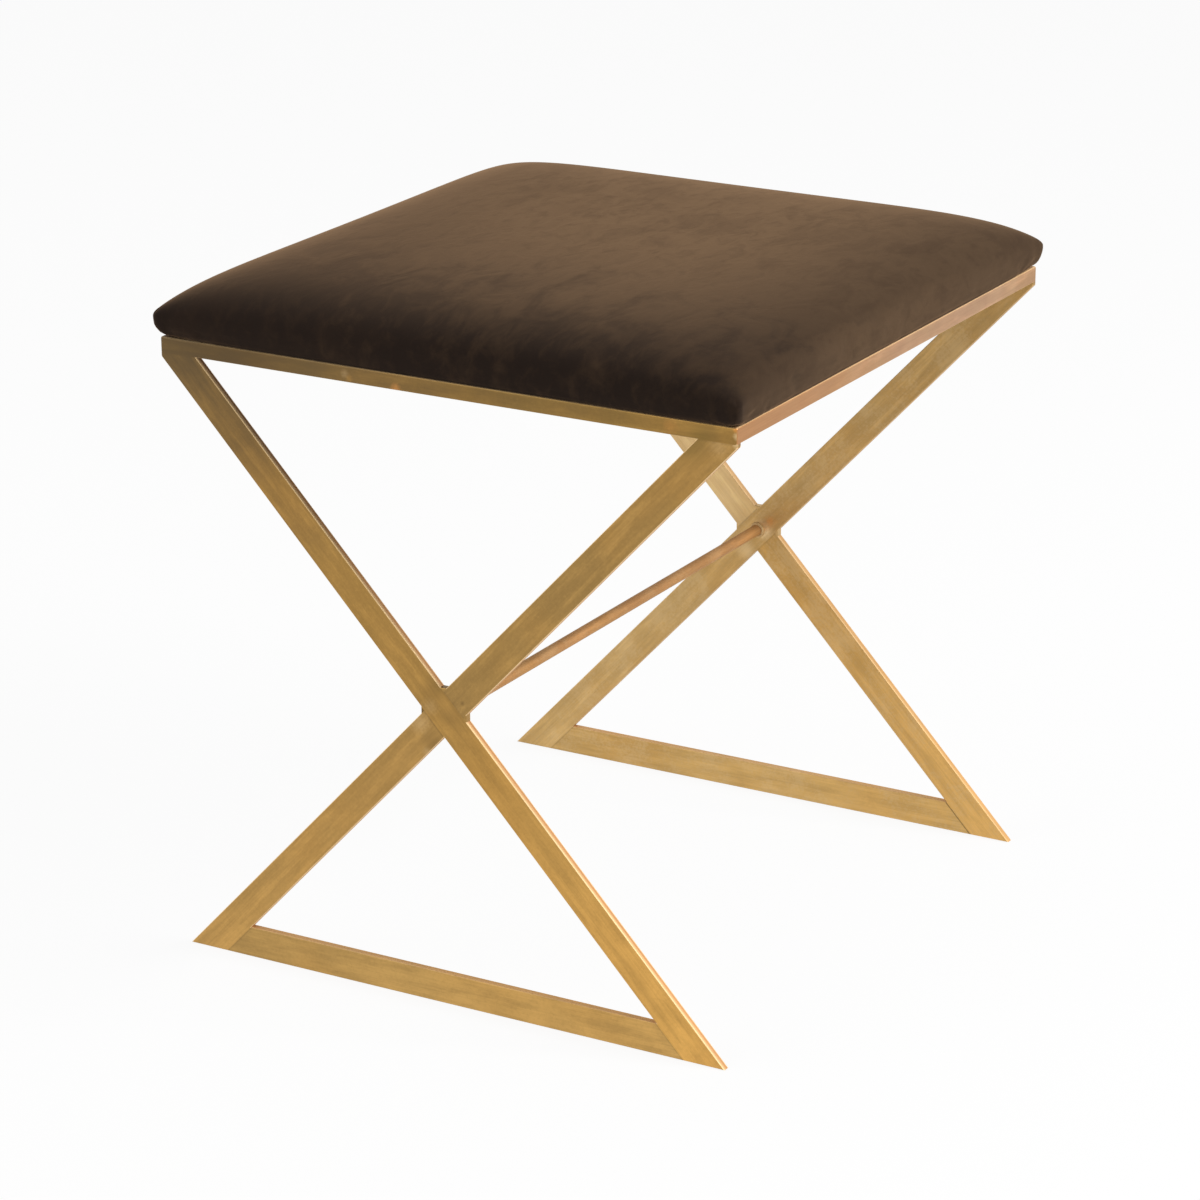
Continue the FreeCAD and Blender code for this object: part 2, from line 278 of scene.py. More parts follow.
def brass(name, tone, centre, turn=(0, 0, 0), joints=(), half_across=1.0, seams=(), marks=(),
          sides=(0.5, 0.5), patina=0.38, mottle=0.0, foot_lightness=1.28, matte=0.0):
    """Brushed and antiqued brass. Its own place has x along the bar, y through it and z across its
    width, all from the centre. Half_across is half that width, and 1 where there are no narrow
    faces. Joints are places along x, where some patina is left. A seam is a plane: its normal, its
    distance from the origin and how much it shows. A mark is a spot: one that a weld or the grinder
    left, a darker end, a painted highlight on a rounded corner, or painted shade in a corner of the
    crossing. It is given by its middle, its radius, its colour and how much it shows. Sides says how
    warm the narrow faces are, and how strong the painted highlight on their front edges is.
    Foot_lightness is how much lighter the tone is at the feet, and matte is how much more the bar
    scatters the light."""
    material, tree, shader = new_material(name)
    whole = tree.place()
    mapping = {"Vector": whole, "Location": centre, "Rotation": turn}
    on_bar = tree.node("Mapping", mapping, {"vector_type": "TEXTURE"})
    brushing = on_bar.stretched((14, 900, 900)).noise(1.0, 2, 0.6)
    streaks = on_bar.stretched((22, 110, 150)).noise(1.0, 4, 0.6, 0.2)
    clouds = whole.noise(34, 3, 0.5, 0.3)
    drifts = whole.noise(9, 2, 0.5)
    grain = whole.noise(420, 3, 0.65)

    toward_feet = whole.along(lightening_direction) + (clouds - 0.5) * 0.14
    tint = face_tone(tone, foot_lightness, mottle, toward_feet, drifts, clouds, streaks, grain)
    # Darker towards the upper left, and at the joints, where some patina is left
    darkened = (1 - toward_feet.between(-0.66, -0.34)) * (0.65 + 0.6 * streaks)
    for joint in joints:
        reach = 1 - (on_bar.axis(0) - joint).magnitude().between(*joint_fade)
        darkened = darkened.highest(reach * clouds.between(0.3, 0.7) * patina)
    tint = darkened.mix(tint, colour(*dark_patina))
    tint = stained(tint, whole, grain, seams, marks)

    # The narrow faces are warmer, and their front strips and rounded edges take a painted highlight
    narrow, strip, edge = edge_masks(on_bar.axis(1), on_bar.axis(2), half_across)
    warmth, highlight_strength = sides
    tint = layered(tint, (
        (narrow * warmth, darkened.mix(colour(*warm_edge), colour(*dark_edge))),
        (strip * highlight_strength * 0.5, colour(*rub_and_highlight)),
        (edge * highlight_strength * (0.95 - 0.1 * darkened), colour(*rub_and_highlight)),
        (brushing.between(0.35, 0.70) * 0.10, colour(*dark_patina)),
    ))
    dull = narrow.highest(edge)
    height = brushing * 0.000012 + grain * 0.000006 + streaks * 0.00002 + clouds * 0.0002
    tree.connect(shader, {
        "Base Color": tint,
        "Metallic": 1 - matte - 0.3 * darkened - 0.45 * dull,
        "Roughness": 0.28 + 0.5 * matte + 0.12 * brushing + 0.14 * grain + 0.1 * darkened + 0.22 * dull,
        "Normal": height.bump(),
    })
    return material


# The marks of each bar: x and z on the face that is seen, radius, colour and how much it shows
weld_marks = {
    "front_rail": (
        # The left end of the rail is darker
        (-0.185, rail_middle, 0.0600, rail_end_dark, 0.55),
        (-0.082, rail_middle, 0.0036, rub_and_highlight, 0.15),
        (-0.078, rail_middle - 0.003, 0.0032, orange_gold, 0.3),
        (-0.037, rail_bottom + 0.001, 0.0044, heat_orange, 0.4),
        (0.196, rail_middle, 0.0070, heat_orange, 0.14),
        (half_width, frame_top - 0.001, 0.0030, heat_orange, 0.6),
        # A painted highlight on the rounded near corner
        (half_width, rail_middle, 0.0028, rub_and_highlight, 0.55),
        (0.222, rail_bottom, 0.0130, olive_patina, 0.6),
    ),
    "front_leg_upper": (
        (0.212, rail_bottom - 0.002, 0.0170, olive_patina, 0.65),
        (0.236, rail_bottom - 0.003, 0.0090, rub_and_highlight, 0.12),
        # A painted highlight where the rounded edge of the leg meets the rail, at the near corner
        (half_width, rail_bottom, 0.0035, rub_and_highlight, 0.5),
        (0.017, crossing_height + 0.012, 0.0022, dark_patina, 0.45),
    ),
    "front_leg_lower": (
        (-0.022, crossing_height - 0.010, 0.0100, rub_and_highlight, 0.20),
        (-0.0145, crossing_height - 0.034, 0.0050, rub_and_highlight, 0.22),
        (-0.009, crossing_height - 0.026, 0.0110, dark_patina, 0.35),
    ),
    "front_leg_long": (
        (-0.006, crossing_height + 0.022, 0.0120, dark_patina, 0.30),
        (-0.012, crossing_height + 0.004, 0.0070, rub_and_highlight, 0.12),
        (0.010, crossing_height - 0.001, 0.0100, dark_patina, 0.18),
    ),
    "front_cross_welds": (
        # Painted shade in the concave corners of the crossing, at its left and at its top
        (-0.0195, crossing_height, 0.0040, weld_corner_shade, 0.7),
        (0.0, crossing_height + 0.0125, 0.0025, weld_corner_shade, 0.5),
    ),
    "back_leg_long": (
        (0.006, crossing_height + 0.001, 0.0085, bare_brass, 0.8),
        (0.012, crossing_height + 0.010, 0.0050, heat_orange, 0.3),
        (-0.012, crossing_height - 0.02, 0.0100, rub_and_highlight, 0.35),
    ),
    # A broad warmer tan over the right rail, strongest at its front end and fading towards the back
    "left_rail": ((half_width, rail_middle, 0.26, side_rail_tan, 0.75),),
    "right_rail": ((half_width, rail_middle, 0.26, side_rail_tan, 0.75),),
}


def dress_bar(node, seen_y, centre, **finish):
    """Gives a bar its own brass, with its marks at the y of the face that is seen."""
    marks = [((x, seen_y, z), *mark) for x, z, *mark in weld_marks.get(node, ())]
    dress(nodes[node], brass(node, bar_tones[node], centre, marks=marks, **finish))


leg_rise, leg_run = sin(leg_angle), cos(leg_angle)
for end, side in (("front", -1), ("back", 1)):
    seen_y = -half_depth if side < 0 else half_depth - bar_thickness
    frame_y = side * (half_depth - bar_thickness / 2)
    crossing = (0, frame_y, crossing_height)
    frame_look = {"mottle": 0.0, "foot_lightness": 1.26} if side < 0 else {"mottle": 0.25, "foot_lightness": 1.12}

    # Seen from the front, the whole leg falls to the right in the front X and to the left behind.
    # The two halves of the other leg are butted to its edges
    normal = (leg_rise, 0, -side * leg_run)
    middle = -side * leg_run * crossing_height
    butts = [(normal, middle - leg_width / 2, 0.5), (normal, middle + leg_width / 2, 0.25)]
    leg_sides = (0.8, 0.95) if side < 0 else (0.35, 0.35)
    for part, fall in (("long", side), ("lower", -side), ("upper", -side)):
        seams = [((0, 0, 1), rail_bottom, 0.3)] + (butts if part != "long" else [])
        # A leg that falls to the right is turned down by its angle, and the other one up
        dress_bar(f"{end}_leg_{part}", seen_y, crossing, turn=(0, -fall * leg_angle, 0),
                  joints=(0, -leg_half, leg_half), half_across=leg_width / 2, seams=seams,
                  sides=leg_sides, patina=0.16, **frame_look)

    # The foot bar is butted between the inner edges of the legs, and the rail lies over them
    inner_edge = toe * leg_rise - leg_width
    foot_seams = [((-leg_rise, 0, leg_run), inner_edge, 0.3),
                  ((leg_rise, 0, leg_run), inner_edge, 1.0 if side > 0 else 0.3)]
    foot = {"half_across": leg_width / 2, "seams": foot_seams, "sides": (0.35, 0.15), "patina": 0.1}
    rail = {"half_across": rail_height / 2, "sides": (0.5, 0.3), "patina": 0.38}
    for part, finish in (("foot_bar", foot), ("rail", rail)):
        low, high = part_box(f"{end}_{part}")
        centre = (0, frame_y, (low.z + high.z) / 2)
        dress_bar(f"{end}_{part}", seen_y, centre, joints=(low.x, high.x), **finish, **frame_look)
    dress_bar(f"{end}_cross_welds", seen_y, crossing)

side_rail = {"half_across": rail_height / 2, "patina": 0.38}
rod = {"patina": 0.1, "matte": 0.55}
for node, finish in (("left_rail", side_rail), ("right_rail", side_rail), ("stretcher_rod", rod)):
    low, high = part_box(node)
    centre = (low + high) / 2
    joints = (low.y - centre.y, high.y - centre.y)
    dress_bar(node, -half_depth, centre, turn=(0, 0, pi / 2), joints=joints, mottle=0.15, **finish)
for node in nodes:
    if node.startswith("corner_plate"):
        dress(nodes[node], brass(node, plate_tone, (0, 0, 0), mottle=0.2))

# Ring welds where the rod meets the two crossings: a bead of filler metal each, laid by hand in
# small steps round the rod, and brushed over after the frame was ground.
weld_low, weld_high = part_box("stretcher_welds")
bead_reach = (weld_high.x - weld_low.x) / 2 - rod_diameter / 2
bead_tone = (226, 188, 134)
bead_steps = 15
bead_rows, bead_columns = 160, 20


def grid_faces(rows, columns, wrap_rows=False, wrap_columns=False):
    """The quads of a grid of points numbered row by row, closed on itself where it wraps."""
    row = np.arange(rows if wrap_rows else rows - 1)[:, None]
    column = np.arange(columns if wrap_columns else columns - 1)[None, :]
    next_row = (row + 1) % rows
    next_column = (column + 1) % columns
    corners = (
        row * columns + column,
        row * columns + next_column,
        next_row * columns + next_column,
        next_row * columns + column,
    )
    return np.stack([np.broadcast_to(c, (len(row), column.shape[1])) for c in corners], -1).reshape(-1, 4)


def new_piece(name, points, faces, body="root"):
    """A smooth mesh piece from its points and faces, riding on the body."""
    mesh = bpy.data.meshes.new(name)
    mesh.from_pydata(points.reshape(-1, 3).tolist(), [], [list(map(int, face)) for face in faces])
    mesh.polygons.foreach_set("use_smooth", [True] * len(mesh.polygons))
    piece = bpy.data.objects.new(name, mesh)
    bpy.context.scene.collection.objects.link(piece)
    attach(piece, body)
    return piece


def ring_bead(side):
    """A bead round the rod: a circle of radius a carried round the axis, where a swells and
    shrinks with the steps of the weld, and the bead is fuller on one side than on the other."""
    round_rod = np.linspace(0, 2 * pi, bead_rows, endpoint=False)[:, None]
    section = np.linspace(0, 2 * pi, bead_columns, endpoint=False)[None, :]
    ripple = 1 + 0.05 * np.abs(np.sin(round_rod * bead_steps / 2 + 0.4 * np.sin(2 * round_rod)))
    ripple = ripple + 0.14 * np.cos(round_rod - 0.6) + 0.08 * np.cos(3 * round_rod + side)
    radius = 0.50 * bead_reach * ripple
    from_axis = rod_diameter / 2 + 0.25 * bead_reach + radius * np.cos(section)
    from_face = 0.2 * bead_reach + radius * np.sin(section)
    x = from_axis * np.cos(round_rod)
    z = crossing_height + from_axis * np.sin(round_rod)
    y = side * (half_depth - bar_thickness - from_face)
    return np.stack([x, y, z], -1)


for end, side in (("front", -1), ("back", 1)):
    # In front the section runs the other way round, so the faces are turned over
    faces = grid_faces(bead_rows, bead_columns, True, True)[:, ::side]
    bead = new_piece(f"{end}_rod_bead", ring_bead(side), faces)
    centre = (0, side * half_depth, crossing_height)
    dress(bead, brass(f"{end}_bead", bead_tone, centre, mottle=0.4, matte=0.6))
    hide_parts("stretcher_welds")

# Screws, washers and staples: zinc-plated steel, bright but never polished. The screws hold the
# seat down through the corner plates, and the staples hold the velvet and the dust cover.
pale_zinc = (188, 190, 190)
grey_zinc = (160, 162, 165)


def zinc(name):
    """Zinc plate: pale grey with a faint crystal pattern and small dull patches."""
    material, tree, shader = new_material(name)
    place = tree.place()
    crystals = place.noise(1500, 2, 0.6)
    dull = place.noise(260, 3, 0.5)
    tree.connect(shader, {
        "Base Color": crystals.between(0.3, 0.7).mix(colour(*pale_zinc), colour(*grey_zinc)),
        "Roughness": 0.28 + 0.3 * dull,
        "Metallic": 1.0,
    })
    return material


zinc_plate = zinc("zinc_plate")
for node in ("seat_screws", "seat_washers", "cover_staples", "dust_cover_staples"):
    dress(nodes[node], zinc_plate)

# Seat board: birch plywood of seven plies, sawn a little smaller than the frame. It carries the
# foam, lies on the rails, and is screwed from below through the corner plates.
board_low, board_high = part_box("seat_board")
plies = 7
pale_birch = (214, 184, 140)
brown_birch = (190, 155, 108)
end_grain = (160, 122, 80)


def plywood():
    """Birch plywood: long grain on its faces, and plies that take turns in tone at its edge."""
    material, tree, shader = new_material("plywood")
    place = tree.place()
    grain = place.stretched((6, 90, 90)).noise(1.0, 4, 0.6, 0.8)
    ply = (place.axis(2) - board_low.z) * (plies / (board_high.z - board_low.z))
    odd = ply.math("PINGPONG", ply, 1.0).between(0.45, 0.55)
    tint = grain.between(0.3, 0.7).mix(colour(*pale_birch), colour(*brown_birch))
    tree.connect(shader, {
        "Base Color": (odd * 0.5).mix(tint, colour(*end_grain)),
        "Normal": (grain * 0.0001).bump(),
        "Roughness": 0.6,
    })
    return material


dress(nodes["seat_board"], plywood())

# Cushion: a foam block and wadding on the board, under one piece of dark brown velvet, pulled
# over the edge, gathered at the corners and stapled on the underside.
cover_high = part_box("seat_cover")[1]
widest_x, widest_y = cover_high.x, cover_high.y
bulge_height = 0.017
side_pull = 0.004
corner_round = 0.007
crown_power = 6.35
shoulder_power = 0.43
corner_lift = 0.004
wide_cell, fine_cell, fine_reach = 0.0050, 0.0021, 0.055


def crown_height(x, y):
    """Height over the widest line: the product of 1 - |x|^p and 1 - |y|^p, to a small power, so
    that the crown is flat in the middle and its shoulders are full."""
    span_x = np.clip(1 - np.abs(x / widest_x) ** crown_power, 0, 1)
    span_y = np.clip(1 - np.abs(y / widest_y) ** crown_power, 0, 1)
    rise = cover_high.z - frame_top - bulge_height
    return rise * (span_x * span_y) ** shoulder_power


def grid_steps(half, across_x):
    """Places from -half to half along one axis. Their steps, taken along the crown's own curve,
    are wide in the middle and fine near the edge, where the cloth has its creases."""
    outward = half * (1 - (1 - np.linspace(0, 1, 4000)) ** 4)
    height = crown_height(outward, 0) if across_x else crown_height(0, outward)
    run = np.concatenate([[0], np.cumsum(np.hypot(np.diff(outward), np.diff(height)))])
    near_edge = np.clip(2 - (run[-1] - run) / fine_reach, 0, 1)
    cells = np.cumsum(np.gradient(run) / (wide_cell + (fine_cell - wide_cell) * near_edge))
    cells = cells - cells[0]
    places = np.interp(np.linspace(0, cells[-1], round(cells[-1]) + 1), cells, outward)
    return np.concatenate([-places[:0:-1], places])


def rounded(x, y, half_x, half_y, radius):
    """Rounds the corners of a rectangle of points: in each corner square, a point keeps its
    direction from the square's inner corner, and its larger offset becomes its distance."""
    core_x = np.clip(x, radius - half_x, half_x - radius)
    core_y = np.clip(y, radius - half_y, half_y - radius)
    off_x, off_y = x - core_x, y - core_y
    away = np.maximum(np.hypot(off_x, off_y), 1e-9)
    share = np.maximum(np.abs(off_x), np.abs(off_y)) / away
    return core_x + off_x * share, core_y + off_y * share


def pulled_in(x, y, pull):
    """Sides that pull in halfway between the corners: x by pull times 1 - v^2, and y by pull
    times 1 - u^2, where u and v run from -1 to 1 across the seat."""
    bow_x = 1 - pull / widest_x * (1 - (y / widest_y) ** 2)
    bow_y = 1 - pull / widest_y * (1 - (x / widest_x) ** 2)
    return x * bow_x, y * bow_y


def rim_order(rows, columns):
    """The numbers of a grid's outermost points, in their order round the seat."""
    numbers = np.arange(rows * columns).reshape(rows, columns)
    return np.concatenate([numbers[0, :-1], numbers[:-1, -1], numbers[-1, :0:-1], numbers[:0:-1, 0]])


x, y = np.meshgrid(grid_steps(widest_x, True), grid_steps(widest_y, False))
top_x, top_y = pulled_in(*rounded(x, y, widest_x, widest_y, corner_round), side_pull)
top = np.stack([top_x, top_y, frame_top + bulge_height + crown_height(x, y)], -1)
rim = rim_order(*x.shape)
rim_x = x.ravel()[rim] / widest_x
rim_y = y.ravel()[rim] / widest_y
# The cover lifts off the rails at its corners, where it is thickest, and least at the front right
corner_share = (np.abs(rim_x) * np.abs(rim_y)) ** 14 * np.where((rim_x > 0) & (rim_y < 0), 0.2, 1)


def ring(half_x, half_y, radius, height, pull=0.0, lift=0.0):
    """One closed line of points under the rim. It lifts by lift at the corners."""
    ring_x, ring_y = rounded(rim_x * half_x, rim_y * half_y, half_x, half_y, radius)
    ring_x, ring_y = pulled_in(ring_x, ring_y, pull)
    return np.stack([ring_x, ring_y, height + lift * corner_share], -1)


# From the widest line the side rolls in to just inside the outer edge of the rails. There the
# velvet turns under and lies on the rails as far as its cut edge. Its inner side goes back out
# from there, under the board, and up the board's edge
hem_gap = 0.0001
hem_inset = 0.0007
roll_x = widest_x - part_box("right_rail")[1].x + hem_inset
roll_y = widest_y - half_depth + hem_inset
roll_power = 2.3
roll_levels = 14
hem_corner = 0.013
turn_under = 0.035
under_levels = 8
under_corner = 0.004
board_gap = 0.0004
board_corner = 0.020
board_wrap = 0.002


def cushion_sides():
    """The rings from the widest line down to the hem, under it, and round the board. The side is
    a quarter of a curve |u|^p + |v|^p = 1, from upright at the bulge to level at the hem."""
    lines = []
    for level in range(1, roll_levels + 1):
        fall = sin(level / roll_levels * pi / 2)
        share = 1 - (1 - fall**roll_power) ** (1 / roll_power)
        height = frame_top + bulge_height - (bulge_height - hem_gap) * fall
        radius = corner_round + (hem_corner - corner_round) * share
        half_x, half_y = widest_x - roll_x * share, widest_y - roll_y * share
        lines.append(ring(half_x, half_y, radius, height, side_pull * (1 - share), corner_lift * share))
    for level in range(1, under_levels + 1):
        share = level / under_levels
        half_x = widest_x - roll_x - turn_under * share
        half_y = widest_y - roll_y - turn_under * share
        radius = hem_corner * (1 - share) + under_corner
        lines.append(ring(half_x, half_y, radius, frame_top + hem_gap, 0, corner_lift * (1 - share) ** 3))
    edge_x, edge_y = board_high.x + board_gap, board_high.y + board_gap
    board_under = board_low.z - hem_gap
    lines.append(ring(half_x, half_y, under_corner, board_under))
    lines.append(ring(edge_x - board_wrap, edge_y - board_wrap, board_corner, board_under))
    lines.append(ring(edge_x, edge_y, board_corner, board_low.z + board_wrap))
    lines.append(ring(edge_x, edge_y, board_corner, board_high.z))
    return np.array(lines)


def closed_faces(rows, columns, lines):
    """The quads of a grid and of the closed lines that follow its rim, which come after it."""
    above = rim_order(rows, columns)
    walls = [grid_faces(rows, columns)]
    for number in range(lines):
        below = rows * columns + number * len(above) + np.arange(len(above))
        walls.append(np.stack([above, below, np.roll(below, -1), np.roll(above, -1)], -1))
        above = below
    return np.concatenate(walls)


def doubled(values, closed):
    """One more value between each two along the first axis, on the cubic through four of them."""
    ends = (values[-1:], values[:2]) if closed else (values[:1], values[-1:])
    padded = np.concatenate([ends[0], values, ends[1]])
    between = (9 * (padded[1:-2] + padded[2:-1]) - padded[:-3] - padded[3:]) / 16
    finer = np.empty((len(values) + len(between), *values.shape[1:]))
    finer[::2], finer[1::2] = values, between
    return finer


# The padding pushes the cloth out for twenty steps. What is stapled stays, and at the corners
# there is more cloth than the shape has room for.
padding_pressure = 0.25
spare_cloth = 0.04
most_push = 0.0025
settling_steps = 20
cloth_lines = roll_levels + 2
gather_reach, gather_height = 0.045, 0.025


def settled(points, faces, held, gathered):
    """How far each point of the cloth moves, worked out on every second point of the cushion."""
    cloth_piece = new_piece("settling_cloth", points, faces)
    for name, weights in (("held", held), ("gathered", gathered)):
        group = cloth_piece.vertex_groups.new(name=name)
        for number in np.nonzero(weights > 0.01)[0].tolist():
            group.add([number], float(weights[number]), "REPLACE")
    cloth = cloth_piece.modifiers.new("cloth", "CLOTH")
    cloth.settings.quality = 5
    cloth.settings.mass = 0.3
    cloth.settings.tension_stiffness = cloth.settings.compression_stiffness = 60
    cloth.settings.shear_stiffness = 20
    cloth.settings.bending_stiffness = 0.5
    cloth.settings.use_pressure = True
    cloth.settings.uniform_pressure_force = padding_pressure
    cloth.settings.vertex_group_mass = "held"
    cloth.settings.vertex_group_shrink = "gathered"
    cloth.settings.shrink_max = -spare_cloth
    cloth.settings.effector_weights.gravity = 0
    cloth.point_cache.frame_start, cloth.point_cache.frame_end = 1, settling_steps
    for step in range(1, settling_steps + 1):
        bpy.context.scene.frame_set(step)
    made = cloth_piece.evaluated_get(bpy.context.evaluated_depsgraph_get())
    places = np.empty(len(points) * 3)
    made.data.vertices.foreach_get("co", places)
    bpy.data.objects.remove(cloth_piece)
    return places.reshape(-1, 3) - points


def rising(value, low, high):
    """0 at or under low, 1 at or over high, and a straight line in between."""
    return np.clip((value - low) / (high - low), 0, 1)


def fading(value, reach):
    """1 at 0, a straight line down to 0 at reach, and 0 beyond it."""
    return np.clip(1 - value / reach, 0, 1)


def from_corner(x, y):
    """How far a place at the edge is from its corner: below zero on the front and back sides, and
    above zero on the left and right ones."""
    return (np.abs(x) - widest_x) - (np.abs(y) - widest_y)


def padding_push(top, rings):
    """How far the padding moves the points of the top and those of the first rings. A move of
    length d becomes m tanh(d / m), so that it stays under the most that a point may move, m."""
    coarse_top = top[::2, ::2]
    rows, columns = coarse_top.shape[:2]
    ring_size = rings.shape[1] // 2
    cloth = np.concatenate([coarse_top.reshape(-1, 3), rings[:cloth_lines, ::2].reshape(-1, 3)])
    x, y, height = cloth[:, 0], cloth[:, 1], cloth[:, 2] - frame_top
    held = np.zeros(len(cloth))
    held[rows * columns + (roll_levels - 2) * ring_size:] = 1
    gathered = fading(np.abs(from_corner(x, y)), gather_reach) * fading(height, gather_height)
    push = settled(cloth, closed_faces(rows, columns, cloth_lines), held, gathered)
    # Over the hem the padding fills the corners out, and on the top the block of foam is flat
    in_corner = np.minimum(np.abs(x) / widest_x, np.abs(y) / widest_y)
    calm = rising(in_corner, 0.2, 0.5) * rising(height, 0.008, 0.018)
    calm = np.maximum(calm, rising(height, 0.018, 0.038))
    push *= (1 - calm)[:, None]
    size = np.linalg.norm(push, axis=1, keepdims=True)
    push *= most_push * np.tanh(size / most_push) / np.maximum(size, 1e-9)
    top_push = push[:rows * columns].reshape(rows, columns, 3)
    top_push = doubled(doubled(top_push, False).swapaxes(0, 1), False).swapaxes(0, 1)
    ring_push = push[rows * columns:].reshape(cloth_lines, -1, 3).swapaxes(0, 1)
    return top_push, doubled(ring_push, True).swapaxes(0, 1)


# The gathers of each corner, named by the signs of its x and y: where a gather starts along the
# hem, as from_corner gives it, in metres, then its depth and its width
corner_gathers = {
    (1, -1): ((-0.0065, 0.0011, 0.0022), (-0.014, 0.0005, 0.003), (0.010, 0.0005, 0.003),
              (0.046, 0.0009, 0.0030), (0.054, 0.0004, 0.0030)),
    (-1, -1): ((-0.012, 0.0007, 0.0030), (-0.040, 0.0005, 0.0040), (0.008, 0.0009, 0.0025)),
    (1, 1): ((-0.009, 0.0009, 0.0026), (0.013, 0.0006, 0.0030), (0.038, 0.0005, 0.0040)),
    (-1, 1): ((-0.007, 0.0010, 0.0024), (0.011, 0.0007, 0.0028), (-0.035, 0.0006, 0.0040)),
}
# The small gathers between the corners: where one starts along its side, its depth and its width
side_gathers = (
    (0.094, 0.0005, 0.006),
    (0.171, 0.0007, 0.005),
    (0.274, 0.0008, 0.005),
    (0.36, 0.0004, 0.007),
)
# The fine ridges above the hem: height over the rails, width and how far they stand out
hem_ridges = ((0.0036, 0.0011, 0.0005), (0.0105, 0.0016, 0.00025), (0.0150, 0.0020, 0.0002))


def bell(value):
    """A bell curve: e to the power of minus the value squared."""
    return np.exp(-(value**2))


def corner_grooves(x, y, height):
    """The gathers at the corners: bell-shaped grooves with a low ridge beside them, which lean,
    widen and fade as they climb."""
    depth_in = np.zeros_like(height)
    for (side_x, side_y), gathers in corner_gathers.items():
        here = (x * side_x > 0) & (y * side_y > 0)
        for number, (start, depth, width) in enumerate(gathers):
            lean = start * 4 + 0.25 * sin(7 * number + side_x)
            off = (from_corner(x, y) - start - lean * height) / (width + 0.12 * height)
            fade = fading(height, 0.024 + 0.012 * cos(number))
            depth_in += here * depth * fade * (bell(off) - 0.4 * bell(off - 1.6))
    return depth_in


def side_grooves(x, y, height):
    """The gathers between the corners: the same few on each side, shallower in front and behind,
    and measured from the other end on the opposite side."""
    depth_in = np.zeros_like(height)
    for start, depth, width in side_gathers:
        for side in (-1, 1):
            from_front = y + widest_y if side > 0 else widest_y - y
            off = (from_front - start - 0.3 * height) / (width + 0.2 * height)
            depth_in += depth * fading(height, 0.024) * (x * side > widest_x * 0.9) * bell(off)
            from_left = x + widest_x if side < 0 else widest_x - x
            off = (from_left - start * 0.9 - 0.02 * side + 0.2 * height) / (width + 0.2 * height)
            depth_in += 0.6 * depth * fading(height, 0.020) * (y * side > widest_y * 0.9) * bell(off)
    return depth_in


def hem_swells(x, y, height):
    """The ridges above the hem: bell curves in height, which sway a little and come and go along
    the side. The left and right sides take other waves than the front and back."""
    swell = np.zeros_like(height)
    run = np.where(np.abs(x) > widest_x * 0.97, y + 3, x)
    for number, (level, width, size) in enumerate(hem_ridges):
        sway = 0.0006 * np.sin(31 * run + 2 * number) + 0.0004 * np.sin(83 * run + number)
        shows = 0.6 + 0.4 * np.sin(19 * run + 5 * number)
        swell += size * shows * bell((height - level - sway) / width)
    return swell


def creases(base):
    """How far each point of the cover moves, straight out from its side: by the height of the
    ridges less the depth of the grooves, near the edge and over the hem only."""
    x, y, height = base[..., 0], base[..., 1], base[..., 2] - frame_top
    offset = hem_swells(x, y, height) - corner_grooves(x, y, height) - side_grooves(x, y, height)
    share_x, share_y = np.abs(x) / widest_x, np.abs(y) / widest_y
    offset *= (np.maximum(share_x, share_y) > 0.9) * rising(height, 0, 0.001)
    outward = np.stack([np.sign(x) * share_x**9, np.sign(y) * share_y**9, np.zeros_like(x)], -1)
    outward /= np.maximum(np.linalg.norm(outward, axis=-1, keepdims=True), 1e-9)
    return offset[..., None] * outward


rings = cushion_sides()
top_creases = creases(top)
top_push, ring_push = padding_push(top, rings)
top += top_push
rings[:cloth_lines] += ring_push
top += top_creases
rings[:roll_levels] += creases(rings[:roll_levels])

points = np.concatenate([top.reshape(-1, 3), rings.reshape(-1, 3)])
faces = closed_faces(*x.shape, len(rings)).tolist()
faces.append(list(range(len(points) - rings.shape[1], len(points))))
cushion = new_piece("velvet_cushion", points, faces)

dark_pile = (32, 23, 18)
lit_pile = (92, 72, 52)
turned_pile = (44, 31, 22)
stroked_pile = (48, 35, 25)
pile_shade = (30, 22, 17)
# The dark of the painted shadow along the hem
hem_shadow_colour = (12, 8, 6)
pile_sheen = (200, 158, 116)


def nap_and_painted_light(x, y, patches, strokes):
    """How much painted light the pile takes, along with its nap. Towards the front there is painted
    shade, in soft blotches, down to its dark ground. Painted light is strongest in the middle of the
    top, and again on the right side, where the light falls."""
    brushed = y + 0.15 * x + (patches - 0.5) * 0.36 + (strokes - 0.5) * 0.22
    brushed = brushed - 0.05 * (0 - x).between(0.04, 0.2)
    nap_and_light = brushed.between(-0.27, 0.01) * (1 - 0.46 * x.magnitude().between(0.06, 0.22))
    # Painted light on the right side of the cushion, where the light falls
    on_side = (x + (patches - 0.5) * 0.03 + (strokes - 0.5) * 0.03).between(0.228, 0.252)
    on_side = on_side * y.between(-0.264, -0.246)
    on_side = on_side * (0.72 - 0.36 * y.magnitude().between(0.05, 0.24) + (patches - 0.5) * 0.6)
    return nap_and_light.highest(on_side)


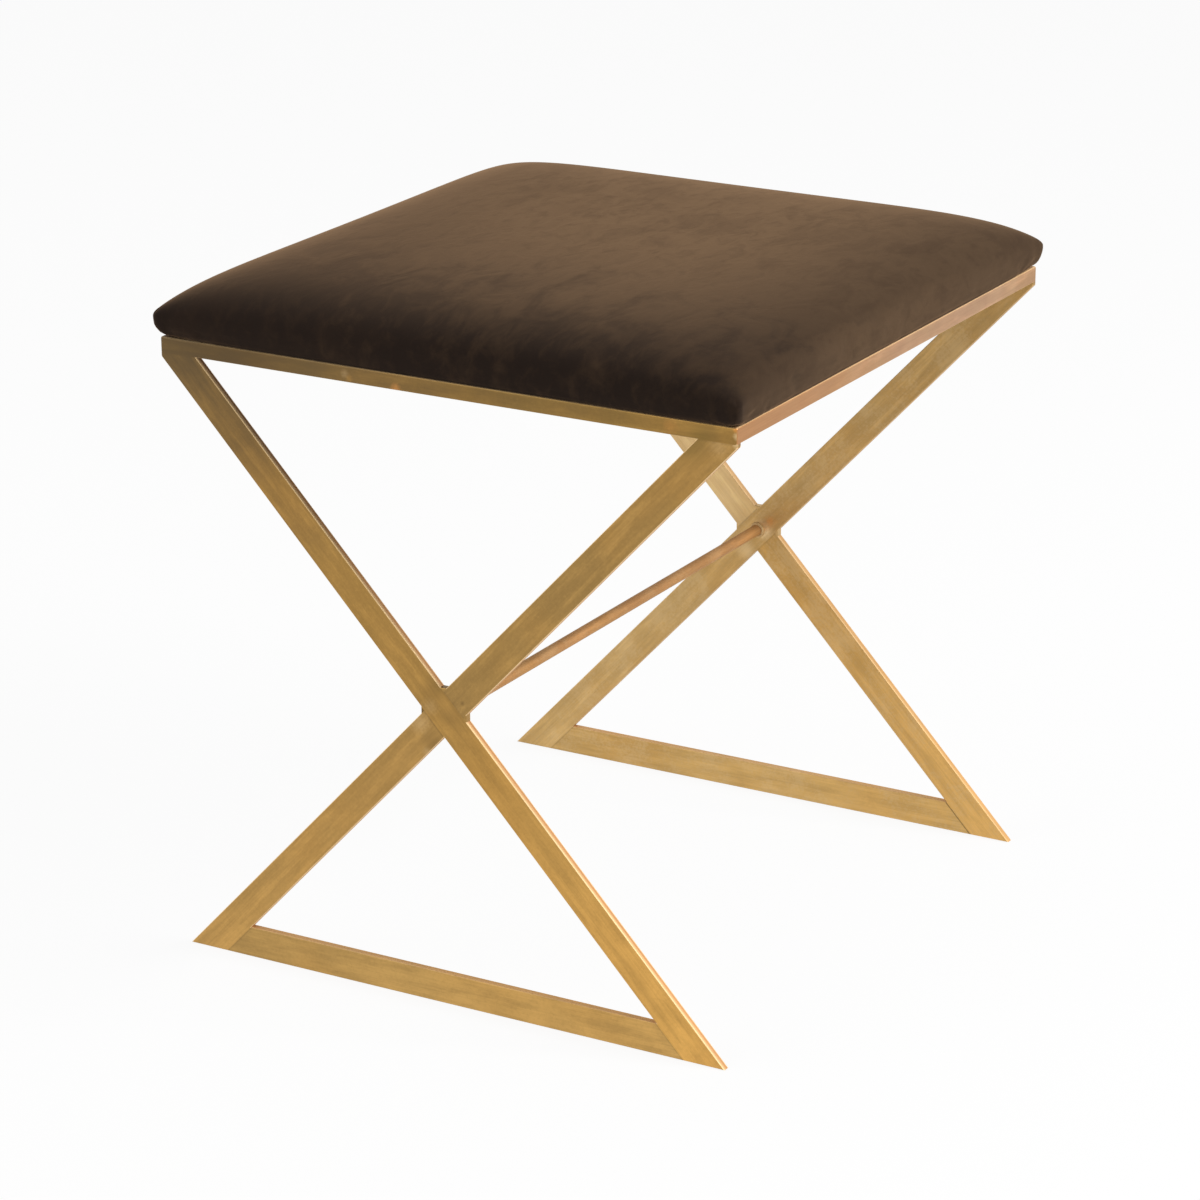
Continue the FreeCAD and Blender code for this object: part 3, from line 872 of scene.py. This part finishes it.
def velvet():
    """Velvet: a dark ground under a pile that shines where it is seen from the side. Hands and
    the upholsterer's tools have laid the pile over in soft patches. Its colour carries painted light
    and shade, and a painted shadow along the hem over the rails."""
    material, tree, shader = new_material("brown_velvet")
    place = tree.place()
    patches = place.stretched((1.2, 0.7, 1.0)).noise(25, 3, 0.6, 0.6)
    strokes = place.stretched((1.2, 0.6, 1.0)).noise(70, 4, 0.62, 0.5)
    pile = place.noise(1300, 1, 0.6)
    # The pile's colour carries painted light on the top and the right side, and painted shade towards the
    # front
    nap_and_light = nap_and_painted_light(place.axis(0), place.axis(1), patches, strokes)
    # A painted shadow along the hem, where the cover meets the rails
    hem_shade_mask = 1 - place.axis(2).between(frame_top + 0.0005, frame_top + 0.0024)
    height = patches * 0.0010 + strokes * 0.0003 + pile * 0.00004
    tree.connect(shader, {
        "Base Color": layered(nap_and_light.mix(colour(*dark_pile), colour(*lit_pile)), (
            (patches.between(0.42, 0.66) * 0.34, colour(*turned_pile)),
            (strokes.between(0.45, 0.70) * 0.40, colour(*stroked_pile)),
            (pile.between(0.3, 0.7) * 0.14, colour(*pile_shade)),
            (hem_shade_mask * 0.75, colour(*hem_shadow_colour)),
        )),
        "Normal": height.bump(),
        "Roughness": 0.9,
        "Specular IOR Level": 0.1,
        "Sheen Weight": 0.5,
        "Sheen Roughness": 0.35,
        "Sheen Tint": colour(*pile_sheen),
    })
    return material


dress(cushion, velvet())
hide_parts("seat_cover", "seat_foam")

# Dust cover: thin black non-woven cloth, cut to the opening between the rails. It closes the
# underside of the seat, is stapled to the board round its edge, and hangs a little in the middle.
dust_low, dust_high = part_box("dust_cover")
dust_columns, dust_rows = 121, 125
sag = 0.0025
ripple_height = 0.0003
cambric_black = (24, 24, 25)
fibre_grey = (46, 46, 48)


def sagging_sheet():
    """A flat sheet whose middle hangs by sag, as the product of 1 - u^2 and 1 - v^2 to the power
    of 1.5, with low waves that end at its edge."""
    u, v = np.meshgrid(np.linspace(-1, 1, dust_columns), np.linspace(-1, 1, dust_rows))
    inside = (1 - u**2) * (1 - v**2)
    waves = np.sin(9 * u + 2 * np.sin(5 * v)) * np.sin(7 * v) * (1 - u**8) * (1 - v**8)
    z = dust_low.z - sag * inside**1.5 + ripple_height * waves * inside
    return np.stack([u * dust_high.x, v * dust_high.y, z], -1)


def cambric():
    """Non-woven cloth: near black, with pressed dots and fine loose fibres."""
    material, tree, shader = new_material("black_cambric")
    place = tree.place()
    fibres = place.noise(900, 3, 0.7, 1.2)
    dots = place.node("TexVoronoi", {"Vector": place, "Scale": 700.0, "Randomness": 0.15})
    height = fibres * 0.0001 + dots.between(0.1, 0.35) * 0.0001
    tree.connect(shader, {
        "Base Color": fibres.between(0.35, 0.7).mix(colour(*cambric_black), colour(*fibre_grey)),
        "Normal": height.bump(0.6),
        "Roughness": 0.9,
    })
    return material


lining = new_piece("dust_cloth", sagging_sheet(), grid_faces(dust_rows, dust_columns)[:, ::-1])
thick = lining.modifiers.new("thick", "SOLIDIFY")
thick.thickness = dust_high.z - dust_low.z
thick.offset = -1.0
dress(lining, cambric())
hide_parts("dust_cover")

# Photographer's studio: a pale floor and white all round, a large soft lamp on the right and a
# weaker one at the front left, and the camera in front, to the right and above the seat.
azimuth, elevation, roll = radians(29.891), radians(19.277), radians(-0.267)
camera_place = Vector((1.58266, -2.77254, 1.37029))
focal_length, sensor_width = 125.65, 36.0
floor_half = 12.0
floor_level = -0.0005
floor_grey = (240, 240, 240)
white = (1.0, 1.0, 1.0, 1.0)
lamp_aim = Vector((0, 0, 0.3))


def new_camera():
    """A camera at its place, turned to its azimuth and elevation and rolled a little."""
    lens = bpy.data.cameras.new("camera")
    lens.sensor_width = sensor_width
    lens.lens = focal_length
    camera = bpy.data.objects.new("camera", lens)
    back = Vector((sin(azimuth) * cos(elevation), -cos(azimuth) * cos(elevation), sin(elevation)))
    right = Vector((cos(azimuth), sin(azimuth), 0))
    up = back.cross(right)
    turned_right = right * cos(roll) + up * sin(roll)
    turned_up = up * cos(roll) - right * sin(roll)
    turn = Matrix((turned_right, turned_up, back)).transposed().to_4x4()
    camera.matrix_world = Matrix.Translation(camera_place) @ turn
    bpy.context.scene.collection.objects.link(camera)
    return camera


def seen_light(tree):
    """1 for what is looked at directly or in the metal, and 0 for what only lights the stool."""
    seen = tree.node("LightPath", {}, output=0)
    mirrored = tree.node("LightPath", {}, output=3)
    return seen.highest(mirrored)


def pale_floor():
    """A matt pale floor. What is seen of it is lifted towards white, and keeps its shadows."""
    material, tree, shader = new_material("pale_floor")
    tree.connect(shader, {
        "Base Color": colour(*floor_grey),
        "Roughness": 1.0,
        "Specular IOR Level": 0.0,
    })
    lift = 0.9 * seen_light(tree)
    lit = Wire(material.node_tree, shader.outputs[0])
    glow = tree.node("Emission", {"Color": white, "Strength": 1.0})
    surface = tree.node("MixShader", {0: lift, 1: lit, 2: glow})
    tree.connect(material.node_tree.nodes["Material Output"], {"Surface": surface})
    return material


def white_world():
    """White all round: at full strength where it is seen, and weaker as light on the stool."""
    world = bpy.data.worlds.new("studio")
    world.use_nodes = True
    tree = Wire(world.node_tree)
    strength = 0.55 + 0.45 * seen_light(tree)
    tree.connect(world.node_tree.nodes["Background"], {"Strength": strength, "Color": white})
    return world


def softbox(name, place, size, power):
    """A square lamp, turned to the middle of the stool."""
    lamp = bpy.data.lights.new(name, "AREA")
    lamp.size = size
    lamp.energy = power
    holder = bpy.data.objects.new(name, lamp)
    holder.location = place
    holder.rotation_mode = "QUATERNION"
    holder.rotation_quaternion = (lamp_aim - Vector(place)).to_track_quat("-Z", "Y")
    bpy.context.scene.collection.objects.link(holder)


bpy.context.scene.camera = new_camera()
floor_x = np.array([-1, 1, 1, -1]) * floor_half
floor_y = np.array([-1, -1, 1, 1]) * floor_half
floor_points = np.stack([floor_x, floor_y, np.full(4, floor_level)], -1)
floor = new_piece("floor", floor_points, [[0, 1, 2, 3]])
dress(floor, pale_floor())
bpy.context.scene.world = white_world()
softbox("key", (3.2, 0.6, 2.4), 2.0, 120.0)
softbox("fill", (-2.6, -2.4, 2.2), 2.4, 40.0)

bpy.context.scene.view_settings.view_transform = "Standard"
